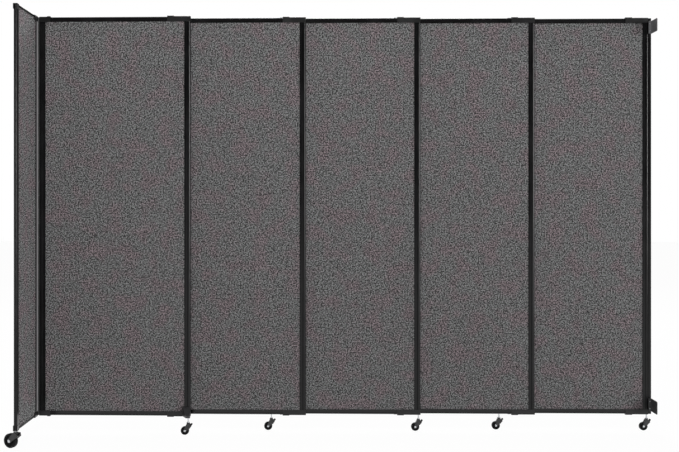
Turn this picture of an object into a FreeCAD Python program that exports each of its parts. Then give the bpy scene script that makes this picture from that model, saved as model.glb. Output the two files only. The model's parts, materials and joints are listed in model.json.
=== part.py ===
import FreeCAD, Part
import math
import os
import re
import Sketcher

# A sliding room divider: five framed fabric boards that telescope one behind the other, fixed to a wall
# at the right and steadied at the left by a hinged end panel. Millimetres, +X towards the wall, +Y towards
# the back, +Z up, floor at zero. All boards are drawn out to their full length.

# Driving sizes
SIZES = {
    # the wall as a whole
    "frame_height": 2188,
    "floor_clearance": 92,
    "panel_width": 834,
    "front_gap": 36,
    "panel_gap": 6,
    "frame_depth": 19,
    "end_panel_width": 410,
    # extruded frame sections
    "post_width": 34,
    "nose_radius": 9.4,
    "rail_height": 25,
    "end_rail_height": 10,
    "edge_radius": 2.5,
    "reveal_width": 4,
    "reveal_depth": 1.8,
    "track_width": 7,
    "track_depth": 4,
    "track_inset": 8,
    "chamber_width": 7,
    "chamber_height": 10,
    "chamber_inset": 4,
    # fabric boards held in the frame grooves
    "board_thickness": 12,
    "groove_depth": 8,
    "groove_play": 0.2,
    "board_end_play": 0.5,
    "board_chamfer": 1,
    # corner sleeves that carry the guide shoes
    "sleeve_cheek": 2,
    "sleeve_plate": 3,
    "boss_rise": 3,
    "front_sleeve_length": 128,
    "front_boss_length": 36,
    "rear_sleeve_length": 73,
    "plain_sleeve_length": 60,
    "rear_boss_length": 16,
    "shoe_length": 38,
    "stop_play": 1,
    "shoe_play": 0.5,
    "tongue_play": 0.4,
    "sleeve_round": 1.2,
    # full length hinge of the end panel
    "hinge_stand": 3.5,
    "hinge_lead": 4,
    "hinge_leaf": 1.5,
    "fixed_leaf_width": 16,
    "swing_leaf_width": 28,
    "hinge_bore": 2.05,
    "hinge_pin_radius": 2,
    "hinge_end_gap": 1,
    "swing_knuckles": 14,
    "knuckle_play": 0.4,
    # wall strip and its brackets
    "wall_strip_reach": 12,
    "wall_strip_lap": 4,
    "wall_strip_web": 3,
    "wall_strip_wall": 2,
    "wall_strip_play": 0.2,
    "bracket_thickness": 3,
    "bracket_reach": 105,
    "bracket_height": 70,
    "bracket_from_end": 50,
    "bracket_round": 8,
    "bracket_hole": 6,
    "bracket_hole_spacing": 50,
    "bracket_hole_inset": 22,
    # outrigger foot under the front panel
    "foot_reach": 66,
    "foot_rise": 48,
    "foot_toe": 12,
    "foot_back_width": 46,
    "foot_toe_width": 24,
    "foot_overhang": 6,
    "foot_stem_inset": 18,
    "foot_stem_depth": 14,
    # caster stems
    "stem_radius": 4,
    "stem_inset": 10.5,
    "stem_depth": 38,
    "stem_play": 0.1,
    "swivel_play": 0.05,
    "swivel_gap": 0.3,
    "collar_radius": 7,
    "collar_height": 2.7,
    "rivet_radius": 6,
    "rivet_height": 3,
    # small casters under the sliding panels
    "small_wheel_diameter": 45,
    "small_wheel_width": 18,
    "small_axle_head": 5.5,
    "small_trail": 18,
    "small_cheek": 2.5,
    "small_boss_radius": 8,
    "small_crown_height": 52,
    "small_crown_radius": 11,
    "small_neck_radius": 9.5,
    "small_neck_height": 66,
    "small_rivet_level": 50.5,
    "small_pivot_reach": 12,
    "small_pivot_height": 48,
    "small_tab_reach": 20,
    "small_tab_height": 57.5,
    # large caster under the end panel
    "large_wheel_diameter": 75,
    "large_wheel_width": 24,
    "large_axle_head": 8,
    "large_trail": 30,
    "large_cheek": 3,
    "large_boss_radius": 11,
    "large_crown_height": 70,
    "large_crown_radius": 13,
    "large_neck_radius": 12,
    "large_neck_height": 85,
    "large_rivet_level": 69.5,
    "large_pivot_reach": 17,
    "large_pivot_height": 66,
    "large_tab_reach": 26,
    "large_tab_height": 79,
    "end_caster_turn": 22,
    # parts that both caster sizes share
    "wheel_rim_share": 0.68,
    "wheel_dish_share": 0.62,
    "wheel_tread_share": 0.45,
    "wheel_shoulder_share": 0.9,
    "wheel_side_play": 1,
    "wheel_top_play": 1.8,
    "axle_radius": 3,
    "axle_head_height": 2.5,
    "axle_play": 0.05,
    "neck_round": 2,
    "rivet_play": 0.7,
    "pedal_gate_play": 0.8,
    "pedal_width": 10,
    "pedal_side_play": 0.5,
    "pedal_hub_radius": 4.2,
    "pedal_pin_radius": 2,
    "lug_radius": 5.5,
    "tab_radius": 2.4,
    "cam_radius": 3,
    "cam_lock_gap": 0.4,
    "cam_rest_angle": 28,
}

doc = FreeCAD.newDocument("sliding_room_divider")
sheet = doc.addObject("Spreadsheet::Sheet", "Sizes")
for row, (alias, value) in enumerate(SIZES.items(), start=1):
    sheet.set(f"A{row}", alias)
    sheet.set(f"B{row}", str(value))
    sheet.setAlias(f"B{row}", alias)
doc.recompute()


# Sizes worked out from the driving ones
FRONT_PITCH = "(frame_depth + front_gap)"
PITCH = "(frame_depth + panel_gap)"
STEP = "(panel_width - front_sleeve_length - rear_sleeve_length - stop_play)"
HALF_DEPTH = "(frame_depth / 2)"
HALF_HEIGHT = "(frame_height / 2)"
MIDDLE = "(floor_clearance + frame_height / 2)"
GROOVE_HALF = "(board_thickness / 2 + groove_play)"
RAIL_INNER = f"({HALF_HEIGHT} - rail_height)"
TRACK_TOP = f"({HALF_HEIGHT} - track_inset)"
TRACK_BOTTOM = f"({TRACK_TOP} - track_width)"
SLEEVE_TOP = f"({HALF_HEIGHT} + sleeve_plate)"
SLEEVE_SIDE = f"({HALF_DEPTH} + sleeve_cheek)"
HINGE_X = "hinge_lead"
HINGE_Y = f"({HALF_DEPTH} + hinge_stand)"
END_PLANE = f"(hinge_lead + hinge_stand + {HALF_DEPTH})"
END_EDGE = f"({HINGE_Y} + hinge_lead)"
HINGE_LENGTH = "(frame_height - 2 * hinge_end_gap)"
STRIP_SIDE = f"({HALF_DEPTH} + wall_strip_play + wall_strip_wall)"
WALL_PLANE = "(wall_strip_reach + bracket_thickness)"


def wheel_radius(size):
    return f"({size}_wheel_diameter / 2)"


def fork_half(size):
    return f"({size}_wheel_width / 2 + wheel_side_play + {size}_cheek)"


# The whole stands with its floor print centred on the origin
END_COS = "cos(end_caster_turn * 1 deg)"
END_SIN = "sin(end_caster_turn * 1 deg)"
END_WHEEL_BACK = f"((large_trail + {wheel_radius('large')}) * {END_COS})"
END_TREAD_SIDE = f"(large_wheel_width / 2 * wheel_tread_share * {END_SIN})"
END_FORK_FRONT = f"((large_pivot_reach + lug_radius) * {END_SIN} + {fork_half('large')} * {END_COS})"
LEFT_REACH = f"({END_PLANE} + {END_WHEEL_BACK} + {END_TREAD_SIDE})"
RIGHT_REACH = f"(4 * {STEP} + panel_width + {WALL_PLANE})"
FRONT_REACH = f"({END_EDGE} + end_panel_width - stem_inset + {END_FORK_FRONT})"
BACK_REACH = f"({FRONT_PITCH} + 3 * {PITCH} + {fork_half('small')} + axle_head_height)"
SHIFT_X = f"(({LEFT_REACH} - {RIGHT_REACH}) / 2)"
SHIFT_Y = f"(({FRONT_REACH} - {BACK_REACH}) / 2)"


def cells(text):
    """Turns the names in a formula into spreadsheet cells."""
    return re.sub(r"[a-z_]+", lambda m: "Sizes." + m.group() if m.group() in SIZES else m.group(), text)


def number(text):
    """The present value of a formula."""
    return float(sheet.evalExpression(cells(text)))


def negative(text):
    """A formula with its sign changed."""
    return "0" if text == "0" else f"-{text}"


def origin_part(body, role):
    """One of the planes or axes that belong to a body."""
    return [item for item in body.Origin.OriginFeatures if item.Role == role][0]


# Sketch helpers: every corner and centre is held by a formula
def new_sketch(body, plane, name, lift="0"):
    sketch = body.newObject("Sketcher::SketchObject", name)
    sketch.AttachmentSupport = (origin_part(body, plane), [""])
    sketch.MapMode = "FlatFace"
    if lift != "0":
        sketch.setExpression("AttachmentOffset.Base.z", cells(lift))
    return sketch


def hold(sketch, kind, places, text):
    index = sketch.addConstraint(Sketcher.Constraint(kind, *places, number(text)))
    sketch.setExpression(f"Constraints[{index}]", cells(text))


def hold_point(sketch, geometry, spot, across, up):
    if across == "0":
        sketch.addConstraint(Sketcher.Constraint("PointOnObject", geometry, spot, -2))
    else:
        hold(sketch, "DistanceX", (-1, 1, geometry, spot), across)
    if up == "0":
        sketch.addConstraint(Sketcher.Constraint("PointOnObject", geometry, spot, -1))
    else:
        hold(sketch, "DistanceY", (-1, 1, geometry, spot), up)


def add_polygon(sketch, corners):
    points = [FreeCAD.Vector(number(across), number(up), 0) for across, up in corners]
    count = len(points)
    first = sketch.GeometryCount
    for place in range(count):
        sketch.addGeometry(Part.LineSegment(points[place], points[(place + 1) % count]), False)
    for place in range(count):
        following = first + (place + 1) % count
        sketch.addConstraint(Sketcher.Constraint("Coincident", first + place, 2, following, 1))
    for place, (across, up) in enumerate(corners):
        hold_point(sketch, first + place, 1, across, up)


def add_circle(sketch, across, up, radius):
    centre = FreeCAD.Vector(number(across), number(up), 0)
    circle = sketch.addGeometry(Part.Circle(centre, FreeCAD.Vector(0, 0, 1), number(radius)), False)
    hold_point(sketch, circle, 3, across, up)
    hold(sketch, "Radius", (circle,), radius)


def add_band(sketch, circles):
    """Outline drawn tight around circles listed anticlockwise, like a belt around pulleys."""
    centres = [FreeCAD.Vector(number(across), number(up), 0) for across, up, radius in circles]
    radii = [number(radius) for across, up, radius in circles]
    count = len(circles)
    normals = []
    for place in range(count):
        along = centres[(place + 1) % count] - centres[place]
        lean = (radii[place] - radii[(place + 1) % count]) / along.Length
        along.normalize()
        outward = FreeCAD.Vector(along.y, -along.x, 0)
        normals.append(along * lean + outward * math.sqrt(1 - lean * lean))
    first = sketch.GeometryCount
    for place in range(count):
        start = math.atan2(normals[place - 1].y, normals[place - 1].x)
        end = math.atan2(normals[place].y, normals[place].x)
        ring = Part.Circle(centres[place], FreeCAD.Vector(0, 0, 1), radii[place])
        sketch.addGeometry(Part.ArcOfCircle(ring, start, end), False)
        after = (place + 1) % count
        leave = centres[place] + normals[place] * radii[place]
        arrive = centres[after] + normals[place] * radii[after]
        sketch.addGeometry(Part.LineSegment(leave, arrive), False)
    for place in range(count):
        arc, line = first + 2 * place, first + 2 * place + 1
        next_arc = first + 2 * ((place + 1) % count)
        sketch.addConstraint(Sketcher.Constraint("Tangent", arc, 2, line, 1))
        sketch.addConstraint(Sketcher.Constraint("Tangent", line, 2, next_arc, 1))
    for place, (across, up, radius) in enumerate(circles):
        hold_point(sketch, first + 2 * place, 3, across, up)
        hold(sketch, "Radius", (first + 2 * place,), radius)


# Feature helpers
def new_body(label):
    body = doc.addObject("PartDesign::Body", label)
    body.Label = label
    return body


def place_body(body, across, deep, up, turn=0):
    body.Placement = FreeCAD.Placement(FreeCAD.Vector(), FreeCAD.Rotation(FreeCAD.Vector(0, 0, 1), turn))
    body.setExpression("Placement.Base.x", cells(across))
    body.setExpression("Placement.Base.y", cells(deep))
    body.setExpression("Placement.Base.z", cells(up))


def sweep(body, kind, sketch, length, both_ways=False):
    feature = body.newObject(f"PartDesign::{kind}", f"{sketch.Name}_{kind}")
    feature.Profile = sketch
    feature.setExpression("Length", cells(length))
    feature.SideType = "Symmetric" if both_ways else "One side"
    return feature


def pad(body, sketch, length, both_ways=False):
    return sweep(body, "Pad", sketch, length, both_ways)


def pocket(body, sketch, length, both_ways=False, against=True):
    """Cuts against the sketch normal, along it, or both ways."""
    before = body.Tip
    doc.recompute()
    volume = before.Shape.Volume
    feature = sweep(body, "Pocket", sketch, length, both_ways)
    feature.Reversed = not against
    doc.recompute()
    if feature.Shape.Volume >= volume:
        raise RuntimeError(f"{feature.Label} cuts nothing")
    return feature


def spin(body, sketch):
    feature = body.newObject("PartDesign::Revolution", f"{sketch.Name}_turned")
    feature.Profile = sketch
    feature.ReferenceAxis = (sketch, ["V_Axis"])
    feature.Angle = 360
    return feature


def mirror(body, plane):
    doc.recompute()
    feature = body.newObject("PartDesign::Mirrored", f"{body.Name}_pair")
    feature.TransformMode = "Whole shape"
    feature.MirrorPlane = (origin_part(body, plane), [""])
    body.Tip = feature
    return feature


def soften(body, kind, size, wanted):
    """Rounds or chamfers the edges of the newest feature that the test picks out."""
    doc.recompute()
    base = body.Tip
    names = [f"Edge{place}" for place, edge in enumerate(base.Shape.Edges, start=1) if wanted(edge)]
    feature = body.newObject(f"PartDesign::{kind}", f"{base.Name}_{kind}")
    feature.Base = (base, names)
    feature.setExpression("Radius" if kind == "Fillet" else "Size", cells(size))
    return feature


def straight_along(edge, axis):
    if edge.Curve.TypeId != "Part::GeomLine":
        return False
    return abs(abs(edge.Curve.Direction.dot(axis)) - 1) < 1e-6


def near(value, text):
    return abs(value - number(text)) < 1e-3


AXIS_X = FreeCAD.Vector(1, 0, 0)
AXIS_Y = FreeCAD.Vector(0, 1, 0)
AXIS_Z = FreeCAD.Vector(0, 0, 1)


# Framed panels, each drawn about its own middle
def make_posts(label, width, left_round, right_round):
    """Two posts. The outer edges of each are rounded by its own radius: a full nose or a small one."""
    body = new_body(label)
    outer = f"({width} / 2)"
    inner = f"({outer} - post_width)"
    reveal = f"({outer} - post_width / 2)"
    back = [
        (f"{inner} + groove_depth", GROOVE_HALF),
        (inner, GROOVE_HALF),
        (inner, HALF_DEPTH),
        (f"{reveal} - reveal_width / 2", HALF_DEPTH),
        (reveal, f"{HALF_DEPTH} - reveal_depth"),
        (f"{reveal} + reveal_width / 2", HALF_DEPTH),
        (outer, HALF_DEPTH),
    ]
    front = [(across, f"-({deep})") for across, deep in reversed(back)]
    sketch = new_sketch(body, "XY_Plane", f"{label}_section")
    for side in ("", "-"):
        add_polygon(sketch, [(f"{side}({across})", deep) for across, deep in back + front])
        add_circle(sketch, f"{side}({outer} - stem_inset)", "0", "stem_radius + stem_play")
    pad(body, sketch, "frame_height", both_ways=True)
    for side, radius in (("-", left_round), ("", right_round)):
        soften(body, "Fillet", radius,
               lambda edge: straight_along(edge, AXIS_Z) and near(edge.CenterOfMass.x, f"{side}{outer}"))
    return body


def make_rails(label, width, height, tracked):
    """Top and bottom rail. Those of the sliding panels are hollow and have a track in each side."""
    body = new_body(label)
    inner = f"({HALF_HEIGHT} - {height})"
    track_floor = f"({HALF_DEPTH} - track_depth)"
    track = [
        (HALF_DEPTH, TRACK_BOTTOM),
        (track_floor, TRACK_BOTTOM),
        (track_floor, TRACK_TOP),
        (HALF_DEPTH, TRACK_TOP),
    ]
    lip = [(GROOVE_HALF, f"{inner} + groove_depth"), (GROOVE_HALF, inner), (HALF_DEPTH, inner)]
    back = lip + (track if tracked else []) + [(HALF_DEPTH, HALF_HEIGHT)]
    front = [(f"-{deep}", up) for deep, up in reversed(back)]
    chamber_top = f"{HALF_HEIGHT} - chamber_inset"
    chamber = [
        ("-chamber_width / 2", f"{chamber_top} - chamber_height"),
        ("chamber_width / 2", f"{chamber_top} - chamber_height"),
        ("chamber_width / 2", chamber_top),
        ("-chamber_width / 2", chamber_top),
    ]
    sketch = new_sketch(body, "YZ_Plane", f"{label}_section")
    add_polygon(sketch, back + front)
    if tracked:
        add_polygon(sketch, chamber)
    pad(body, sketch, f"{width} - 2 * post_width", both_ways=True)
    soften(body, "Fillet", "edge_radius",
           lambda edge: straight_along(edge, AXIS_X) and near(edge.CenterOfMass.z, HALF_HEIGHT))
    mirror(body, "XY_Plane")
    return body


def make_board(label, width, rail):
    body = new_body(label)
    bite = "(groove_depth - board_end_play)"
    right = f"({width} / 2 - post_width + {bite})"
    top = f"({HALF_HEIGHT} - {rail} + {bite})"
    sketch = new_sketch(body, "XZ_Plane", f"{label}_outline")
    add_polygon(sketch, [(f"-{right}", f"-{top}"), (right, f"-{top}"), (right, top), (f"-{right}", top)])
    pad(body, sketch, "board_thickness", both_ways=True)
    soften(body, "Chamfer", "board_chamfer",
           lambda edge: near(abs(edge.CenterOfMass.y), "board_thickness / 2"))
    return body


# A corner sleeve straddles the end of a rail and its post. One that guides the next panel has a shoe whose
# tongue runs in the side track of that panel's rail.
def add_sleeve(body, label, start, length, boss_start, boss_length, shoe_start, shoe_side, gap):
    saddle = [
        (f"-{SLEEVE_SIDE}", RAIL_INNER),
        (f"-{HALF_DEPTH}", RAIL_INNER),
        (f"-{HALF_DEPTH}", HALF_HEIGHT),
        (HALF_DEPTH, HALF_HEIGHT),
        (HALF_DEPTH, RAIL_INNER),
        (SLEEVE_SIDE, RAIL_INNER),
        (SLEEVE_SIDE, SLEEVE_TOP),
        (f"-{SLEEVE_SIDE}", SLEEVE_TOP),
    ]
    sketch = new_sketch(body, "YZ_Plane", f"{label}_saddle", start)
    add_polygon(sketch, saddle)
    pad(body, sketch, length)
    if boss_length:
        boss = [
            (f"-{SLEEVE_SIDE}", HALF_HEIGHT),
            (SLEEVE_SIDE, HALF_HEIGHT),
            (SLEEVE_SIDE, f"{SLEEVE_TOP} + boss_rise"),
            (f"-{SLEEVE_SIDE}", f"{SLEEVE_TOP} + boss_rise"),
        ]
        sketch = new_sketch(body, "YZ_Plane", f"{label}_boss", boss_start)
        add_polygon(sketch, boss)
        pad(body, sketch, boss_length)
    if shoe_side:
        face = f"({HALF_DEPTH} + {gap} - shoe_play)"
        tip = f"({HALF_DEPTH} + {gap} + track_depth - tongue_play)"
        shoe = [
            (HALF_DEPTH, RAIL_INNER),
            (face, RAIL_INNER),
            (face, f"{TRACK_BOTTOM} + tongue_play"),
            (tip, f"{TRACK_BOTTOM} + tongue_play"),
            (tip, f"{TRACK_TOP} - tongue_play"),
            (face, f"{TRACK_TOP} - tongue_play"),
            (face, SLEEVE_TOP),
            (HALF_DEPTH, SLEEVE_TOP),
        ]
        if shoe_side == "front":
            shoe = [(f"-{across}", up) for across, up in reversed(shoe)]
        sketch = new_sketch(body, "YZ_Plane", f"{label}_shoe", shoe_start)
        add_polygon(sketch, shoe)
        pad(body, sketch, "shoe_length")


def make_sleeves(label, width, left, right, stem_ends, trim="0"):
    """Sleeves at both ends of a panel: left and right give the length, the length of the boss on top, if any,
    the side of the shoe, if any, and the gap that it bridges. The right ones can stop short by a trim."""
    body = new_body(label)
    left_length, left_boss, *left_shoe = left
    right_length, right_boss, *right_shoe = right
    left_end = f"(-{width} / 2)"
    left_inner = f"({left_end} + {left_length})"
    right_inner = f"({width} / 2 - {right_length})"
    add_sleeve(body, f"{label}_left", left_end, left_length, f"{left_inner} - {left_boss}",
               left_boss, f"{left_inner} - shoe_length", *left_shoe)
    add_sleeve(body, f"{label}_right", right_inner, f"{right_length} - {trim}", right_inner,
               right_boss, right_inner, *right_shoe)
    soften(body, "Fillet", "sleeve_round",
           lambda edge: straight_along(edge, AXIS_X) and edge.CenterOfMass.z > number(HALF_HEIGHT) + 0.1
           and near(abs(edge.CenterOfMass.y), SLEEVE_SIDE))
    mirror(body, "XY_Plane")
    if stem_ends:
        sketch = new_sketch(body, "XY_Plane", f"{label}_stem_holes", f"-{SLEEVE_TOP}")
        for side in stem_ends:
            add_circle(sketch, f"{side}({width} / 2 - stem_inset)", "0", "stem_radius + stem_play")
        pocket(body, sketch, "sleeve_plate", against=False)
    return body


# Full length hinge, drawn about the axis of its pin. The fixed leaf runs back from the barrel along the first
# post's edge and has a knuckle at both ends. The swing leaf runs forward on the end panel's inner face, between
# the sleeves there.
def make_leaf(label, swings):
    body = new_body(label)
    barrel = "hinge_lead"
    seat = "hinge_stand" if swings else "hinge_lead"
    width = "swing_leaf_width" if swings else "fixed_leaf_width"
    root = f"({barrel} + knuckle_play)"
    slot = f"({HINGE_LENGTH} / (2 * swing_knuckles + 1))"
    lift = f"{'1' if swings else '0'} * {slot} + knuckle_play / 2"
    plate_lift = "(rail_height - hinge_end_gap + knuckle_play)" if swings else "0"

    def strip(start, end):
        inner = f"({seat} - hinge_leaf)"
        corners = [(inner, start), (seat, start), (seat, end), (inner, end)]
        if swings:
            corners = [(negative(across), negative(along)) for across, along in corners]
        return corners

    sketch = new_sketch(body, "XY_Plane", f"{label}_plate", plate_lift)
    add_polygon(sketch, strip(root, f"({root} + {width})"))
    pad(body, sketch, f"{HINGE_LENGTH} - 2 * {plate_lift}")
    strap = new_sketch(body, "XY_Plane", f"{label}_strap", lift)
    add_polygon(strap, strip("hinge_bore", f"({root} + hinge_leaf)"))
    strap_pad = pad(body, strap, f"{slot} - knuckle_play")
    ring = new_sketch(body, "XY_Plane", f"{label}_ring", lift)
    add_circle(ring, "0", "0", barrel)
    add_circle(ring, "0", "0", "hinge_bore")
    ring_pad = pad(body, ring, f"{slot} - knuckle_play")
    row = body.newObject("PartDesign::LinearPattern", f"{label}_knuckles")
    row.Originals = [strap_pad, ring_pad]
    row.Direction = (origin_part(body, "Z_Axis"), [""])
    row.Mode = "Spacing"
    row.setExpression("Offset", cells(f"2 * {slot}"))
    row.setExpression("Occurrences", cells("swing_knuckles" if swings else "swing_knuckles + 1"))
    body.Tip = row
    return body


def make_pin(label):
    body = new_body(label)
    sketch = new_sketch(body, "XY_Plane", f"{label}_round")
    add_circle(sketch, "0", "0", "hinge_pin_radius")
    pad(body, sketch, HINGE_LENGTH)
    return body


# Wall strip and brackets, drawn about the middle of the last panel. The strip laps the nose of the last post.
def make_wall_strip(label):
    body = new_body(label)
    near_side = "(panel_width / 2 - wall_strip_lap)"
    seat = "(panel_width / 2)"
    web = f"({seat} + wall_strip_web)"
    wall_side = f"({seat} + wall_strip_reach)"
    lip = f"({STRIP_SIDE} - wall_strip_wall)"
    back = [
        (seat, lip),
        (near_side, lip),
        (near_side, STRIP_SIDE),
        (wall_side, STRIP_SIDE),
        (wall_side, lip),
        (web, lip),
    ]
    front = [(across, f"-{deep}") for across, deep in reversed(back)]
    sketch = new_sketch(body, "XY_Plane", f"{label}_section")
    add_polygon(sketch, back + front)
    pad(body, sketch, "frame_height", both_ways=True)
    soften(body, "Fillet", "wall_strip_wall * 0.6",
           lambda edge: straight_along(edge, AXIS_Z) and near(edge.CenterOfMass.x, near_side)
           and near(abs(edge.CenterOfMass.y), STRIP_SIDE))
    return body


def make_bracket(label, side):
    body = new_body(label)
    strip_side = "(panel_width / 2 - wall_strip_lap / 2)"
    wall_plane = f"(panel_width / 2 + {WALL_PLANE})"
    plate = f"({wall_plane} - bracket_thickness)"
    leg = f"({STRIP_SIDE} + bracket_thickness)"
    tip = f"({STRIP_SIDE} + bracket_reach)"
    middle = f"{side}({HALF_HEIGHT} - bracket_from_end)"
    angle = [
        (strip_side, f"-{leg}"),
        (plate, f"-{leg}"),
        (plate, f"-{tip}"),
        (wall_plane, f"-{tip}"),
        (wall_plane, f"-{STRIP_SIDE}"),
        (strip_side, f"-{STRIP_SIDE}"),
    ]
    sketch = new_sketch(body, "XY_Plane", f"{label}_angle", middle)
    add_polygon(sketch, angle)
    pad(body, sketch, "bracket_height", both_ways=True)
    soften(body, "Fillet", "bracket_round",
           lambda edge: straight_along(edge, AXIS_X) and near(-edge.CenterOfMass.y, tip))
    soften(body, "Fillet", "bracket_thickness * 0.9",
           lambda edge: straight_along(edge, AXIS_Z) and near(edge.CenterOfMass.x, wall_plane)
           and near(-edge.CenterOfMass.y, STRIP_SIDE))
    holes = new_sketch(body, "YZ_Plane", f"{label}_screw_holes", wall_plane)
    for place in range(2):
        from_tip = f"bracket_hole_inset + {place} * bracket_hole_spacing"
        add_circle(holes, f"-({tip} - ({from_tip}))", middle, "bracket_hole / 2")
    pocket(body, holes, "bracket_thickness")
    return body


# Outrigger foot that carries the front panel's caster ahead of the board
def make_foot(label):
    body = new_body(label)
    back = SLEEVE_SIDE
    toe = f"({SLEEVE_SIDE} + foot_reach)"
    sole = f"(-{HALF_HEIGHT})"
    side_view = [
        (f"-{back}", sole),
        (f"-{back}", f"{sole} + foot_rise"),
        (f"-{back} - foot_toe / 2", f"{sole} + foot_rise"),
        (f"-{toe}", f"{sole} + foot_toe"),
        (f"-{toe}", sole),
    ]
    left = "(panel_width / 2 - foot_back_width)"
    right = "(panel_width / 2 + foot_overhang)"
    sketch = new_sketch(body, "YZ_Plane", f"{label}_side", left)
    add_polygon(sketch, side_view)
    pad(body, sketch, f"{right} - {left}")
    trims = new_sketch(body, "XY_Plane", f"{label}_taper", sole)
    outside = f"({toe} + 1)"
    add_polygon(trims, [(f"{left} - 1", f"-{back}"), (f"{left} - 1", f"-{outside}"),
                        (f"{right} - foot_toe_width", f"-{outside}"), (left, f"-{back}")])
    add_polygon(trims, [(f"{right} + 1", f"-{back}"), ("panel_width / 2", f"-{back}"),
                        (right, f"-{outside}"), (f"{right} + 1", f"-{outside}")])
    pocket(body, trims, "foot_rise + 1", against=False)
    soften(body, "Fillet", "foot_toe / 3",
           lambda edge: edge.CenterOfMass.y < -number(toe) + 0.01
           and edge.CenterOfMass.z > number(sole) + 1)
    bore = new_sketch(body, "XY_Plane", f"{label}_stem_bore", sole)
    stem_across = f"{right} - foot_toe_width / 2"
    stem_deep = f"-({toe} - foot_stem_inset)"
    add_circle(bore, stem_across, stem_deep, "stem_radius + stem_play")
    pocket(body, bore, "foot_stem_depth + 1", against=False)
    return body


# Casters, drawn about the axis of the stem with the floor at zero. The wheel trails to the left.
def make_stems(label, size, depth, span=""):
    """One stem, or two stems of one panel that stand a span apart."""
    body = new_body(label)
    rivet_top = f"({size}_rivet_level + rivet_height)"
    collar = f"({size}_neck_height + swivel_gap)"
    tip = f"(floor_clearance + {depth})"
    turned = [
        ("0", f"{size}_rivet_level"),
        ("rivet_radius", f"{size}_rivet_level"),
        ("rivet_radius", rivet_top),
        ("stem_radius", rivet_top),
        ("stem_radius", collar),
        ("collar_radius", collar),
        ("collar_radius", f"{collar} + collar_height"),
        ("stem_radius", f"{collar} + collar_height"),
        ("stem_radius", f"{tip} - stem_radius / 4"),
        ("stem_radius * 3 / 4", tip),
        ("0", tip),
    ]
    sketch = new_sketch(body, "XZ_Plane", f"{label}_section")
    add_polygon(sketch, turned)
    stem = spin(body, sketch)
    if span:
        row = body.newObject("PartDesign::LinearPattern", f"{label}_row")
        row.Originals = [stem]
        row.Direction = (origin_part(body, "X_Axis"), [""])
        row.setExpression("Length", cells(span))
        body.Tip = row
    return body


def axle_spot(size):
    return f"(-{size}_trail)", wheel_radius(size)


def pivot_spot(size):
    return f"{size}_pivot_reach", f"{size}_pivot_height"


def make_fork(label, size):
    radius, half = wheel_radius(size), fork_half(size)
    axle, pivot = axle_spot(size), pivot_spot(size)
    body = new_body(label)
    side = new_sketch(body, "XZ_Plane", f"{label}_side")
    add_band(side, [axle + (f"{size}_boss_radius",), pivot + ("lug_radius",),
                    ("0", f"{size}_crown_height", f"{size}_crown_radius")])
    pad(body, side, f"2 * {half}", both_ways=True)
    neck = new_sketch(body, "XY_Plane", f"{label}_neck", f"{size}_crown_height")
    add_circle(neck, "0", "0", f"{size}_neck_radius")
    pad(body, neck, f"{size}_neck_height - {size}_crown_height")
    soften(body, "Fillet", "neck_round",
           lambda edge: near(edge.CenterOfMass.z, f"{size}_neck_height"))
    well = new_sketch(body, "XZ_Plane", f"{label}_wheel_well")
    add_circle(well, axle[0], axle[1], f"{radius} + wheel_top_play")
    pocket(body, well, f"{size}_wheel_width + 2 * wheel_side_play", both_ways=True)
    gate = new_sketch(body, "XZ_Plane", f"{label}_pedal_gate")
    gate_left = f"({pivot[0]} - pedal_hub_radius - pedal_gate_play)"
    gate_right = f"({pivot[0]} + lug_radius + 1)"
    gate_top = f"({size}_neck_height + 1)"
    roof = f"({size}_rivet_level - 1)"
    add_polygon(gate, [(f"{axle[0]} / 3", axle[1]), (gate_right, axle[1]), (gate_right, gate_top),
                       (gate_left, gate_top), (gate_left, roof), (f"{axle[0]} / 3", roof)])
    pocket(body, gate, "pedal_width + 2 * pedal_side_play", both_ways=True)
    recess = new_sketch(body, "XY_Plane", f"{label}_rivet_recess", radius)
    add_circle(recess, "0", "0", "rivet_radius + rivet_play")
    pocket(body, recess, f"{size}_rivet_level + rivet_height + swivel_gap - {radius}", against=False)
    kingpin = new_sketch(body, "XY_Plane", f"{label}_kingpin_bore", radius)
    add_circle(kingpin, "0", "0", "stem_radius + swivel_play")
    pocket(body, kingpin, f"{size}_neck_height - {radius}", against=False)
    holes = new_sketch(body, "XZ_Plane", f"{label}_pin_holes")
    add_circle(holes, axle[0], axle[1], "axle_radius")
    add_circle(holes, pivot[0], pivot[1], "pedal_pin_radius + axle_play")
    pocket(body, holes, f"2 * {half} + 2", both_ways=True)
    return body


def make_wheel(label, size):
    radius = wheel_radius(size)
    body = new_body(label)
    body_half = f"({size}_wheel_width / 2)"
    bore = "(axle_radius + axle_play)"
    hub = f"({size}_axle_head + 1)"
    rim = f"({radius} * wheel_rim_share)"
    dish = f"({body_half} * wheel_dish_share)"
    tread = f"({body_half} * wheel_tread_share)"
    right_side = [
        (bore, body_half),
        (hub, body_half),
        (hub, dish),
        (rim, dish),
        (rim, body_half),
        (f"{radius} * wheel_shoulder_share", body_half),
        (radius, tread),
    ]
    left_side = [(across, f"-{up}") for across, up in reversed(right_side)]
    sketch = new_sketch(body, "XY_Plane", f"{label}_section")
    add_polygon(sketch, right_side + left_side)
    spin(body, sketch)
    return body


def make_axle(label, size):
    half, head = fork_half(size), f"{size}_axle_head"
    body = new_body(label)
    right_side = [
        ("axle_radius", half),
        (head, half),
        (head, f"{half} + axle_head_height * 0.5"),
        (f"{head} * 0.7", f"{half} + axle_head_height"),
        ("0", f"{half} + axle_head_height"),
    ]
    left_side = [(across, f"-({up})") for across, up in reversed(right_side)]
    sketch = new_sketch(body, "XY_Plane", f"{label}_section")
    add_polygon(sketch, right_side + left_side)
    spin(body, sketch)
    return body


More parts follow.
